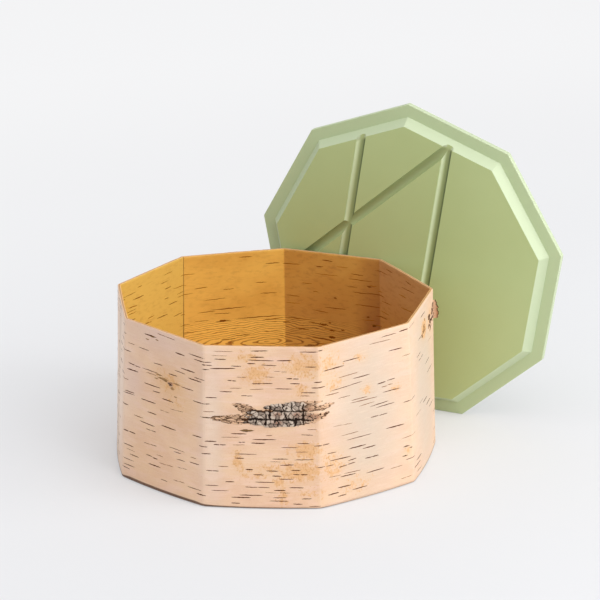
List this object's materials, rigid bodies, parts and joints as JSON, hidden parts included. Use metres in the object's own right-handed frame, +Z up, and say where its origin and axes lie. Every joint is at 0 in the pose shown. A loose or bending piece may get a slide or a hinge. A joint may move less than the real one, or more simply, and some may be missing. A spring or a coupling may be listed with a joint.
{
  "type": "lidded bark box",
  "caption": "Nine-sided box folded from birch bark on a wooden base board, with its rabbeted, painted wooden lid stood on edge and leaning on a corner of the box.",
  "frame": {"origin": "on the box's axis, at the underside of its base board, which stands on the floor", "axes": "+Z up, along the box's axis; -Y square to one flat side of the box, its front; +X to the right, the side the lid stands on"},
  "size_m": [0.2723, 0.2112, 0.1988],
  "materials": {
    "bark_outside": "matt, papery birch bark, pale cream to pink with thin dark dashes",
    "bark_inside": "satin, golden inner face of birch bark",
    "bare_wood": "sanded, unfinished",
    "sage_paint": "wood board under smooth satin sage green paint"
  },
  "bodies": {
    "box": {"outer_bark_wall": "bark_outside", "inner_bark_ply": "bark_inside", "base_board": "bare_wood"},
    "lid": {"lid": "sage_paint"}
  },
  "joints": [
    {"name": "lid_lift", "type": "slide", "parent": "box", "child": "lid", "axis": [0, 0, 1], "range_m": [0, 0.12]}
  ]
}
